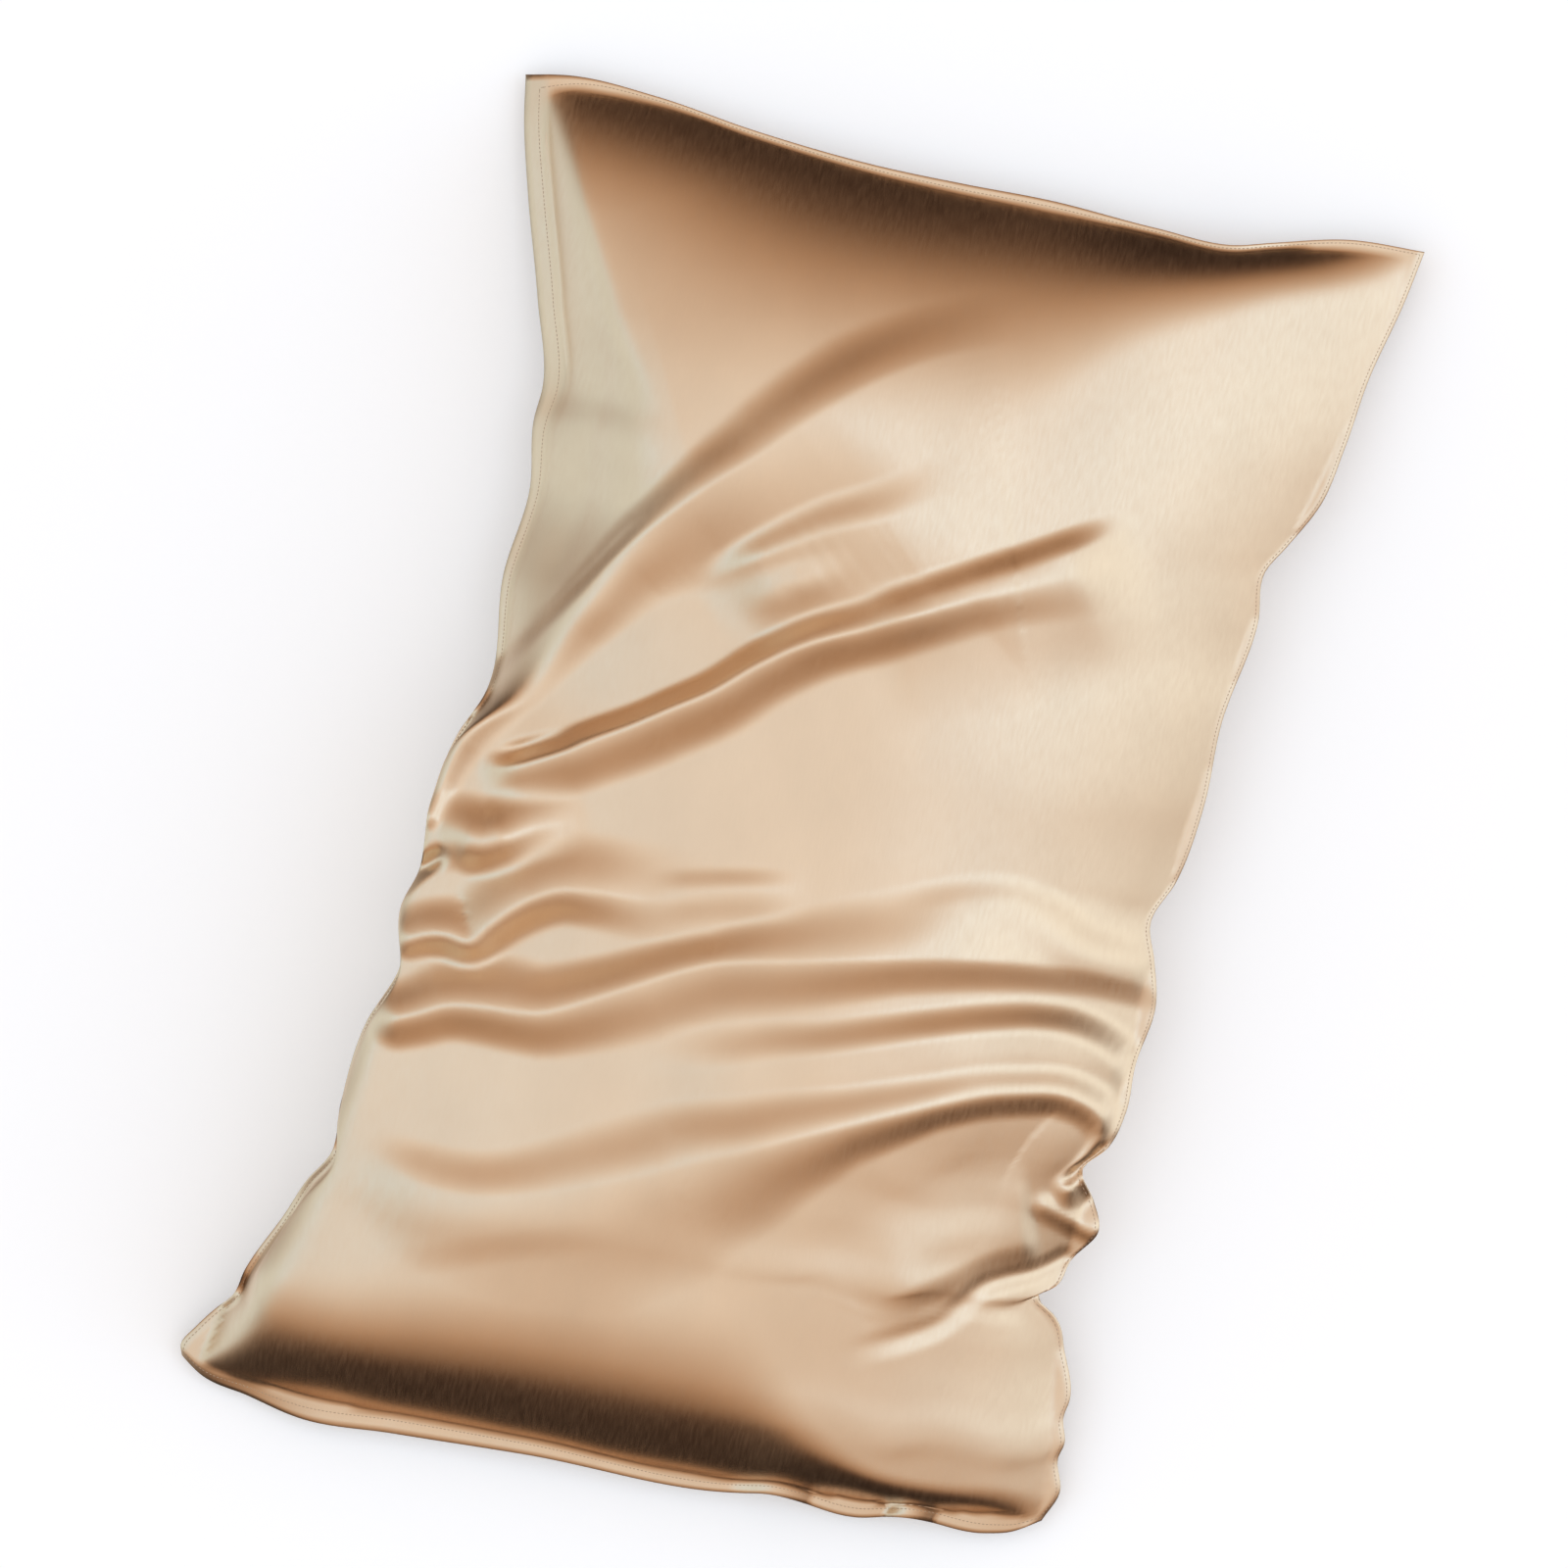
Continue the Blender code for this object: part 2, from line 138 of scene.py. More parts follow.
@dataclass(frozen=True)
class Edge:
    """One of the four sewn edges of the case, which runs along x or y."""

    runs: Measure
    rows: tuple[Sewn, ...]

    def place(self, share: Array) -> Array:
        """Turn a share of the edge, 0 to 1, into its place along the edge."""
        return self.rows[0].at + share * (self.rows[-1].at - self.rows[0].at)

    def column(self, name: str, share: Array) -> Array:
        """Read a named column smoothly.

        Args:
            name: out, seam or lip.
            share: how far along the edge, 0 to 1.

        Returns:
            The column's value at each share.
        """
        at = [row.at for row in self.rows]
        return through(at, [getattr(row, name) for row in self.rows], self.place(share))

    def read(self, measure: Measure, share: Array) -> Array:
        """Read where the edge lies, or how high its seam is.

        Args:
            measure: which of them.
            share: how far along the edge, 0 to 1.

        Returns:
            The value at each share, in mm.
        """
        if measure is self.runs:
            return self.place(share)
        return self.column("seam" if measure is Measure.SEAM else "out", share)

    def wave(self, share: Array, reach: float = 60.0) -> Array:
        """Tell how far the edge swings out of its own calm line.

        Args:
            share: how far along the edge, 0 to 1.
            reach: how far to each side the calm line is averaged, in mm.

        Returns:
            The swing at each share, in mm, positive where the edge lies further out.
        """
        line = np.linspace(0.0, 1.0, EDGE_POINTS)
        steps = np.linspace(-reach, reach, CALM_POINTS) / (self.rows[-1].at - self.rows[0].at)
        calm = np.mean([self.column("out", np.clip(line + step, 0.0, 1.0))
                        for step in steps], axis=0)
        return np.interp(share, line, self.column("out", line) - calm)


LEFT_SIDE = Edge(Measure.Y, (
    Sewn(-380, -256, 12, 3), Sewn(-374, -258, 13, 3), Sewn(-362, -252, 16, 3),
    Sewn(-350, -244, 18, 3), Sewn(-340, -236, 20, 3), Sewn(-325, -233, 22, 3),
    Sewn(-290, -219, 27, 3), Sewn(-268, -211, 30, 3), Sewn(-250, -201, 33, 3),
    Sewn(-222, -203, 35, 2), Sewn(-176, -200, 37, 1.6), Sewn(-140, -188, 38, 1.6),
    Sewn(-104, -195, 38, 1.6), Sewn(-84, -190, 39, 1.6), Sewn(-45, -193, 40, 1.6),
    Sewn(-8, -188, 40, 1.6), Sewn(12, -180, 40, 3), Sewn(85, -185, 40, 6),
    Sewn(131, -182, 38, 7), Sewn(170, -189, 36, 10), Sewn(187, -188.5, 35, 12),
    Sewn(235, -203, 30, 13), Sewn(290, -222, 24, 13), Sewn(330, -234, 18, 12),
    Sewn(354, -239, 14, 12),
))
RIGHT_SIDE = Edge(Measure.Y, (
    Sewn(-356, 228, 10, 4), Sewn(-338, 234, 14, 3), Sewn(-320, 228.5, 18, 3),
    Sewn(-311, 230, 20, 3), Sewn(-298, 226, 22, 3), Sewn(-286, 227, 23, 3),
    Sewn(-262, 218, 26, 3), Sewn(-243, 207, 28, 3), Sewn(-235.5, 195.5, 29, 3),
    Sewn(-228, 204, 30, 3), Sewn(-212, 209, 31, 3), Sewn(-192, 220, 33, 3),
    Sewn(-176, 213, 34, 3), Sewn(-162, 203, 35, 3), Sewn(-146, 214, 35, 3),
    Sewn(-125, 219, 36, 3), Sewn(-100, 218, 37, 3), Sewn(-62, 221, 38, 3),
    Sewn(-40, 214.5, 38, 3), Sewn(-21, 207.5, 38, 3), Sewn(5, 216, 39, 3),
    Sewn(50, 221, 40, 3), Sewn(95, 219.5, 40, 3), Sewn(155, 226, 38, 3),
    Sewn(184, 223.5, 36, 3), Sewn(198, 231, 35, 3), Sewn(225, 244, 33, 3),
    Sewn(260, 250, 30, 3), Sewn(300, 254, 26, 3), Sewn(345, 263, 21, 3),
    Sewn(376, 267.5, 18, 3),
))
TOP_END = Edge(Measure.X, (
    Sewn(-239, 354, 14, 12), Sewn(-215, 359, 15, 6), Sewn(-165, 359, 17, 3),
    Sewn(-110, 353.5, 20, 3), Sewn(-35, 350.5, 22, 4), Sewn(10, 352, 22, 5),
    Sewn(60, 354.5, 22, 5), Sewn(120, 353.5, 21, 3), Sewn(165, 354.5, 20, 3),
    Sewn(185, 361, 20, 3), Sewn(225, 372.5, 19, 3), Sewn(267.5, 376, 18, 3),
))
HEM_END = Edge(Measure.X, (
    Sewn(-256, -380, 12, 4), Sewn(-245, -387, 12, 5), Sewn(-215, -393, 12, 7),
    Sewn(-186, -398, 13, 10), Sewn(-132, -394, 14, 11), Sewn(-60, -388, 15, 9),
    Sewn(66, -379.5, 15, 7), Sewn(72, -378, 15, 7), Sewn(130, -378, 14, 8),
    Sewn(150, -372.5, 13, 8), Sewn(200, -370, 11, 8), Sewn(213, -366, 10, 7),
    Sewn(228, -356, 10, 4),
))


# ---------------- the crown
class Reach(NamedTuple):
    """How far in from an edge the front still climbs, at one place along it, in mm."""

    at: float
    reach: float


LEFT_SWELL = (   # how far the left side bulges out over its own lip
    Reach(-380, 0), Reach(-350, 0), Reach(-320, 10), Reach(-260, 12),
    Reach(-200, 12), Reach(-45, 13), Reach(-12, 11), Reach(8, 5), Reach(25, 0),
    Reach(354, 0),
)


@dataclass(frozen=True)
class Crown:
    """The rise that the filling gives the front."""

    rise: float = 84.0
    end_roundness: float = 3.0
    left_roundness: float = 4.0
    right_roundness: float = 2.0
    left: tuple[Reach, ...] = (Reach(-380, 34), Reach(-330, 36), Reach(-260, 31),
                                  Reach(-200, 23), Reach(-150, 19), Reach(-45, 19),
                                  Reach(0, 22), Reach(30, 40), Reach(60, 60),
                                  Reach(100, 82), Reach(140, 92), Reach(180, 70),
                                  Reach(214, 47), Reach(250, 35), Reach(290, 29),
                                  Reach(354, 28))
    left_steep: float = 0.78       # the share of the left climb that this reach makes
    left_far: float = 170.0        # the reach of its gentle rest
    left_far_roundness: float = 2.0
    right: tuple[Reach, ...] = (Reach(-356, 260), Reach(-250, 205),
                                   Reach(-170, 195), Reach(-60, 195), Reach(60, 200),
                                   Reach(220, 240), Reach(376, 340))
    top: tuple[Reach, ...] = (Reach(-239, 140), Reach(-170, 150), Reach(-100, 160),
                                 Reach(0, 150), Reach(60, 138), Reach(120, 80),
                                 Reach(180, 47), Reach(267, 36))
    hem: tuple[Reach, ...] = (Reach(-256, 70), Reach(-170, 88), Reach(-120, 104),
                                 Reach(-60, 111), Reach(0, 109), Reach(50, 92),
                                 Reach(90, 48), Reach(125, 24), Reach(170, 18),
                                 Reach(228, 18))

    def height(self, x: Array, y: Array, inside: dict[str, Array]) -> Array:
        """Work out how far the filling lifts the front above the seam.

        Args:
            x: places across the case.
            y: places along it.
            inside: how far each point is from the inner line of each edge's lip.

        Returns:
            The rise at each point, in mm.
        """
        product = np.full_like(x, self.rise)
        for name, place, roundness in (("left", y, self.left_roundness),
                                       ("right", y, self.right_roundness),
                                       ("top", x, self.end_roundness),
                                       ("hem", x, self.end_roundness)):
            rows = getattr(self, name)
            reach = through([r.at for r in rows], [r.reach for r in rows], place)
            climb = arch(inside[name], reach, roundness)
            if name == "left":
                rest = arch(inside[name], self.left_far, self.left_far_roundness)
                climb = self.left_steep * climb + (1 - self.left_steep) * rest
            product = product * climb
        return product


# ---------------- the folds
@dataclass(frozen=True)
class Fold:
    """A crest or a valley of the cloth, in mm, drawn from left to right.

    path is its line, height its height above the crown along that line, evenly spaced, and
    upper and lower are the widths of its two slopes.  ends is the share of the line over
    which it starts and dies away, crisp is 0 for a rounded crest and 1 for a pressed one, and
    flat is how far its top stays level on each side of the line.
    """

    name: str
    path: tuple[tuple[float, float], ...]
    height: tuple[float, ...]
    upper: tuple[float, ...]
    lower: tuple[float, ...]
    ends: tuple[float, float] = (0.0, 0.3)
    crisp: float = 0.0
    flat: float = 0.0
    steps: int = 64

    def line(self) -> tuple[Array, Array]:
        """Draw the fold's smooth line as many short straight runs.

        Returns:
            The places across the case, and along it, at which the runs meet.
        """
        path = np.array(self.path, float)
        knots = np.r_[0.0, np.cumsum(np.hypot(*np.diff(path, axis=0).T))]
        run = np.linspace(0.0, knots[-1], self.steps + 1)
        return through(knots, path[:, 0], run), through(knots, path[:, 1], run)

    def add_to(self, lift: Array, x: Array, y: Array) -> None:
        """Add this fold's height to the points that it reaches.

        Args:
            lift: the height of all folds so far, which this changes.
            x: places across the case.
            y: places along it.
        """
        line_x, line_y = self.line()
        widest = self.flat + max(*self.upper, *self.lower)
        reached = np.flatnonzero((x > line_x.min() - widest) & (x < line_x.max() + widest)
                                 & (y > line_y.min() - widest) & (y < line_y.max() + widest))
        if not len(reached):
            return
        px, py = x[reached], y[reached]
        best = np.full(len(reached), np.inf)
        side = np.zeros(len(reached))
        share = np.zeros(len(reached))
        for i in range(self.steps):
            step_x, step_y = line_x[i + 1] - line_x[i], line_y[i + 1] - line_y[i]
            away_x, away_y = px - line_x[i], py - line_y[i]
            along = np.clip((away_x * step_x + away_y * step_y)
                            / (step_x * step_x + step_y * step_y), 0.0, 1.0)
            gap = np.hypot(away_x - along * step_x, away_y - along * step_y)
            nearer = gap < best
            best = np.where(nearer, gap, best)
            turn = (step_x * away_y - step_y * away_x) / np.hypot(step_x, step_y)
            side = np.where(nearer, np.clip(turn / np.maximum(gap, NO_GAP_MM), -1, 1), side)
            share = np.where(nearer, (i + along) / self.steps, share)
        lower, upper = self._along(self.lower, share), self._along(self.upper, share)
        width = lower + (upper - lower) * (0.5 + 0.5 * side)
        near = np.clip((best - self.flat) / width, 0.0, 1.0)
        rounded = 0.5 + 0.5 * np.cos(np.pi * near)
        pressed = (1.0 - near) ** 2
        rise = ease(share, self.ends[0]) * ease(1.0 - share, self.ends[1])
        lift[reached] += (self._along(self.height, share) * rise
                          * ((1 - self.crisp) * rounded + self.crisp * pressed))

    @staticmethod
    def _along(values: tuple[float, ...], share: Array) -> Array:
        """Read evenly spaced values at shares of the line."""
        return np.interp(share, np.linspace(0.0, 1.0, len(values)), values)


FOLDS = (
    Fold("long_roll",
         ((-196, -55), (-195, -30), (-192, -12), (-185, 6), (-176, 20), (-164, 40), (-152, 60),
          (-140, 80), (-128, 101), (-115, 120), (-100, 138), (-83, 157), (-65, 175),
          (-37, 207), (-12, 231), (16, 251), (44, 265), (80, 275)),
         (12, 16, 18, 18, 18, 16, 13), (12, 10, 10, 13, 22, 31, 33, 31, 30),
         (14, 24, 28, 30, 38, 58, 95, 140, 180, 200, 220), (0.0, 0.3), 0.2),
    Fold("roll_hairline",
         ((-168, 44), (-157, 62), (-146, 81), (-134, 101), (-123, 120), (-114, 133)),
         (-1, -2, -3, -3, -2), (3, 3), (4, 4), (0.2, 0.3)),
    Fold("upper_middle_crease",
         ((-78, 95), (-62, 111), (-42, 126), (-17, 142), (14, 158), (38, 173), (60, 186)),
         (8, 12, 12, 10, 6), (13, 18, 24, 27, 29), (50, 70, 90, 90), (0.25, 0.45)),
    Fold("second_crease",
         ((-60, 95), (-45, 102), (-27, 112), (-8, 122), (12, 131)),
         (2, 4, 2), (15, 16), (17, 18), (0.4, 0.5)),
    Fold("twin_fold_lens",
         ((-166, -20), (-152, -11), (-137, -3), (-118, 7)),
         (-2, -5, -4, -1), (8, 8), (7, 7), (0.25, 0.3)),
    Fold("upper_right_crease",
         ((10, 104), (40, 120), (70, 137), (95, 152), (115, 165), (135, 179), (150, 190)),
         (3, 6, 9, 10, 7), (16, 16), (70, 80), (0.15, 0.3)),
    Fold("twin_fold_crest",
         ((-172, -28), (-150, -18), (-130, -6), (-110, 8), (-95, 18), (-79, 30), (-57, 46),
          (-36, 66), (-12, 83.5), (18, 99.5), (44, 114), (70, 128), (97, 142), (120, 154),
          (150, 170), (175, 182)),
         (8, 16, 19, 18, 16, 11, 5, 2, 0), (12, 13, 12, 14, 18, 20, 24, 26, 28),
         (20, 28, 30, 28, 24, 22, 20, 26, 34), (0.06, 0.2), 0.2),
    Fold("waist_knuckle",
         ((-184, -66), (-172, -63), (-160, -63), (-150, -58), (-140, -51), (-125, -43),
          (-105, -33)),
         (6, 15, 16, 9, 3, 0), (26, 26), (22, 22), (0.0, 0.2)),
    Fold("edge_pocket",
         ((-197, -96), (-190, -86), (-183, -78), (-178, -70)),
         (-9, -10, -5), (7, 7), (8, 8), (0.0, 0.3)),
    Fold("tuck_lip",
         ((-186, -124), (-176, -119), (-165, -117), (-154, -118), (-146, -108), (-137, -97),
          (-126, -87), (-112, -79), (-95, -76), (-70, -74), (-40, -68), (-5, -62)),
         (10, 13, 15, 15, 13, 9, 6, 4, 2), (20, 28, 34, 34, 30), (14, 20, 24, 24),
         (0.0, 0.45), 0.2),
    Fold("soft_waist_band",
         ((-70, -72), (-40, -62), (-10, -54), (25, -46)),
         (2, 4, 3), (14, 14), (20, 20), (0.3, 0.4)),
    Fold("waist_crease",
         ((-182, -168), (-172, -163), (-158, -155), (-140, -151), (-120, -149), (-108, -147),
          (-95, -141), (-80, -132), (-60, -120), (-40, -108), (-20, -98), (0, -92), (20, -87),
          (50, -79), (80, -71), (110, -64), (150, -57), (180, -54), (212, -54)),
         (13, 15, 15, 13, 12, 11, 9, 6, 4), (22, 32, 24, 20, 34, 44, 44, 40),
         (20, 26, 36, 32, 22, 18, 15), (0.0, 0.0), 0.2),
    Fold("waist_step",
         ((-60, -183), (-30, -168), (0, -158), (25, -147), (50, -138), (80, -126),
          (110, -114), (140, -104), (160, -99), (180, -98), (195, -102), (207, -110),
          (215, -122)),
         (3, 6, 9, 11, 12, 13), (34, 28, 22, 20, 21, 24), (110, 110), (0.25, 0.0), 0.0, 4),
    Fold("lower_roll",
         ((-192, -236), (-170, -248), (-145, -254), (-120, -253), (-90, -245), (-60, -233),
          (-30, -219), (0, -203), (20, -194), (40, -183), (60, -173), (80, -163),
          (100, -153), (120, -143), (140, -134), (160, -128), (180, -124), (196, -126),
          (206, -131), (212, -139), (212, -149), (207, -160), (199, -172)),
         (4, 8, 10, 14, 14, 10, 7, 8, 9), (18, 26, 28, 36, 38, 32, 24, 19, 17, 17, 15),
         (30, 44, 60, 74, 66, 44, 24, 15, 14, 13, 11), (0.1, 0.0), 0.1),
    Fold("soft_right_band",
         ((60, -54), (85, -43), (110, -33), (130, -29), (150, -32), (175, -43), (205, -45)),
         (2, 3, 3, 2), (18, 18), (36, 24, 16), (0.3, 0.0)),
    Fold("notch_curl",
         ((176, -184), (190, -187), (203, -190), (217, -193)),
         (2, 5, 9), (7, 14, 24), (8, 10), (0.3, 0.0), 0.3),
    Fold("notch_slit",
         ((210, -148), (204, -158), (198, -167), (192, -175)),
         (-4, -5, -3), (4, 4), (5, 5), (0.0, 0.3)),
    Fold("corner_crease",
         ((100, -264), (106, -259), (126, -244), (146, -229), (166, -214), (190, -204)),
         (3, 5, 5, 5), (50, 50), (20, 17), (0.3, 0.1)),
    Fold("corner_groove",
         ((95, -293), (110, -283), (130, -272), (145, -262), (155, -250), (160, -242),
          (165, -236), (175, -230), (190, -222), (205, -210)),
         (-1, -2, -2, -2), (9, 8, 7), (12, 10, 8), (0.3, 0.0)),
    Fold("roll_shoulder",
         ((-200, 150), (-150, 165), (-100, 190), (-60, 215), (0, 250), (60, 275)),
         (10, 13, 6, 0), (120, 120), (90, 90), (0.2, 0.4)),
    Fold("lower_left_swell",
         ((-172, -290), (-150, -287), (-120, -275), (-90, -263), (-60, -252), (-30, -240),
          (-5, -228)),
         (1, 2, 1, 0), (40, 40), (20, 20), (0.2, 0.4)),
)


class Layer(Enum):
    """The two cloths of the case."""

    FRONT = "front"
    BACK = "back"


# ---------------- finishes
@dataclass(frozen=True)
class NodeWriter:
    """Adds nodes to a tree, fed by other nodes' sockets or by plain values."""

    tree: NodeTree

    def feed(self, socket: Socket, value: Feed) -> None:
        """Link a socket to another one, or set its value.

        Args:
            socket: the socket to feed.
            value: what feeds it, or None to leave it as it is.
        """
        if isinstance(value, Socket):
            self.tree.links.new(value, socket)
        elif isinstance(value, tuple):
            socket.default_value = (*value, 1.0)
        elif value is not None:
            socket.default_value = value

    def math(self, kind: str, first: Feed, second: Feed = None,
             clamp: bool = False) -> Socket:
        """Add a Math node.

        Args:
            kind: its operation.
            first: its first number.
            second: its second number, where it takes one.
            clamp: whether its result stays between 0 and 1.

        Returns:
            Its result.
        """
        node = self.tree.nodes.new("ShaderNodeMath")
        node.operation = kind
        node.use_clamp = clamp
        for socket, value in zip(node.inputs, (first, second)):
            self.feed(socket, value)
        return node.outputs["Value"]

    def mix(self, share: Feed, first: Feed, second: Feed,
            kind: str = "MIX") -> Socket:
        """Add a Mix node for colours.

        Args:
            share: how much of the second colour.
            first: the first colour.
            second: the second colour.
            kind: how they blend.

        Returns:
            The blended colour.
        """
        node = self.tree.nodes.new("ShaderNodeMix")
        node.data_type = "RGBA"
        node.blend_type = kind
        colours = [socket for socket in node.inputs if socket.type == "RGBA"]
        for socket, value in zip((node.inputs["Factor"], *colours), (share, first, second)):
            self.feed(socket, value)
        return next(socket for socket in node.outputs if socket.type == "RGBA")


@dataclass(frozen=True)
class ChampagneSatin:
    """Warp-faced satin: brown in the ply, with a pale sheen that its long floats stretch."""

    ply: Colour = (0.78, 0.575, 0.385)
    gloss: float = 0.98
    roughness: float = 0.34
    roughness_change: float = 0.05
    stretch: float = 0.5
    thread_mm: float = 0.45
    thread_depth: float = 0.125                    # a share of the thread's width
    thread_strength: float = 0.12
    slub_mm: tuple[float, float] = (1.6, 9.0)      # thickenings of the yarn, across and along
    slub_detail: float = 3.0
    slub_depth_mm: float = 0.06
    cloud_mm: tuple[float, float] = (45.0, 70.0)   # slow changes of the dye
    cloud_detail: float = 4.0
    shade: float = 0.03                            # how much the dye changes
    patches: tuple[float, float] = (0.3, 0.7)      # the noise's own hollows and peaks

    def make(self, name: str) -> Material:
        """Build the finish.

        Args:
            name: what to call the material.

        Returns:
            The new material.
        """
        material = bpy.data.materials.new(name)
        material.use_nodes = True
        tree = material.node_tree
        inputs = tree.nodes["Principled BSDF"].inputs
        inputs["Metallic"].default_value = self.gloss
        inputs["Anisotropic"].default_value = self.stretch
        tangent = tree.nodes.new("ShaderNodeTangent")
        tangent.direction_type = "UV_MAP"
        tangent.uv_map = CLOTH_MAP
        slub = self._mottle(tree, self.slub_mm, self.slub_detail)
        cloud = self._mottle(tree, self.cloud_mm, self.cloud_detail)
        dark, pale = (tuple(level * (1 + change) for level in self.ply)
                      for change in (-self.shade, self.shade))
        dye = NodeWriter(tree).mix(self._spread(tree, cloud, 0.0, 1.0), dark, pale)
        dullness = self._spread(tree, slub, self.roughness - self.roughness_change,
                                self.roughness + self.roughness_change)
        tree.links.new(tangent.outputs["Tangent"], inputs["Tangent"])
        tree.links.new(dye, inputs["Base Color"])
        tree.links.new(dullness, inputs["Roughness"])
        tree.links.new(self._relief(tree, slub), inputs["Normal"])
        return material

    def _relief(self, tree: NodeTree,
                slub: Socket) -> Socket:
        """Raise the threads and their slubs.

        Args:
            tree: the material's nodes.
            slub: where the yarn is thick.

        Returns:
            The cloth's direction with both of them on it.
        """
        weave = tree.nodes.new("ShaderNodeTexWave")
        # at scale 1 this texture's bands come pi / 10 apart
        weave.inputs["Scale"].default_value = math.pi / 10 / (self.thread_mm * MM)
        tree.links.new(self._cloth(tree), weave.inputs["Vector"])
        threads = tree.nodes.new("ShaderNodeBump")
        threads.inputs["Strength"].default_value = self.thread_strength
        threads.inputs["Distance"].default_value = self.thread_mm * MM * self.thread_depth
        tree.links.new(weave.outputs["Fac"], threads.inputs["Height"])
        slubs = tree.nodes.new("ShaderNodeBump")
        slubs.inputs["Strength"].default_value = 1.0
        slubs.inputs["Distance"].default_value = self.slub_depth_mm * MM
        tree.links.new(slub, slubs.inputs["Height"])
        tree.links.new(threads.outputs["Normal"], slubs.inputs["Normal"])
        return slubs.outputs["Normal"]

    @staticmethod
    def _cloth(tree: NodeTree) -> Socket:
        """Give the cloth's own directions, in metres.

        Args:
            tree: the material's nodes.

        Returns:
            The place on the cloth.
        """
        cloth = tree.nodes.new("ShaderNodeUVMap")
        cloth.uv_map = CLOTH_MAP
        return cloth.outputs["UV"]

    def _mottle(self, tree: NodeTree, size_mm: tuple[float, float],
                detail: float) -> Socket:
        """Make soft patches on the cloth.

        Args:
            tree: the material's nodes.
            size_mm: the size of a patch, across and along the case.
            detail: how many finer layers they carry.

        Returns:
            The patches' value.
        """
        stretch = tree.nodes.new("ShaderNodeMapping")
        stretch.inputs["Scale"].default_value = (1 / (size_mm[0] * MM), 1 / (size_mm[1] * MM), 1)
        tree.links.new(self._cloth(tree), stretch.inputs["Vector"])
        noise = tree.nodes.new("ShaderNodeTexNoise")
        noise.inputs["Scale"].default_value = 1.0
        noise.inputs["Detail"].default_value = detail
        tree.links.new(stretch.outputs["Vector"], noise.inputs["Vector"])
        return noise.outputs["Fac"]

    def _spread(self, tree: NodeTree, value: Socket, low: float,
                high: float) -> Socket:
        """Spread a patch value.

        Args:
            tree: the material's nodes.
            value: the patches.
            low: what their hollows become.
            high: what their peaks become.

        Returns:
            The spread value.
        """
        spread = tree.nodes.new("ShaderNodeMapRange")
        for name, number in zip(("From Min", "From Max", "To Min", "To Max"),
                                (*self.patches, low, high)):
            spread.inputs[name].default_value = number
        tree.links.new(value, spread.inputs["Value"])
        return spread.outputs["Result"]


# ---------------- the case
class Plan(NamedTuple):
    """Where the points of one cloth lie, before they are lifted.

    u and v are shares of the short and the long edges, x, y and seam are in mm, and inside is
    how far each point is from the inner line of each edge's lip.
    """

    u: Array
    v: Array
    x: Array
    y: Array
    seam: Array
    inside: dict[str, Array]


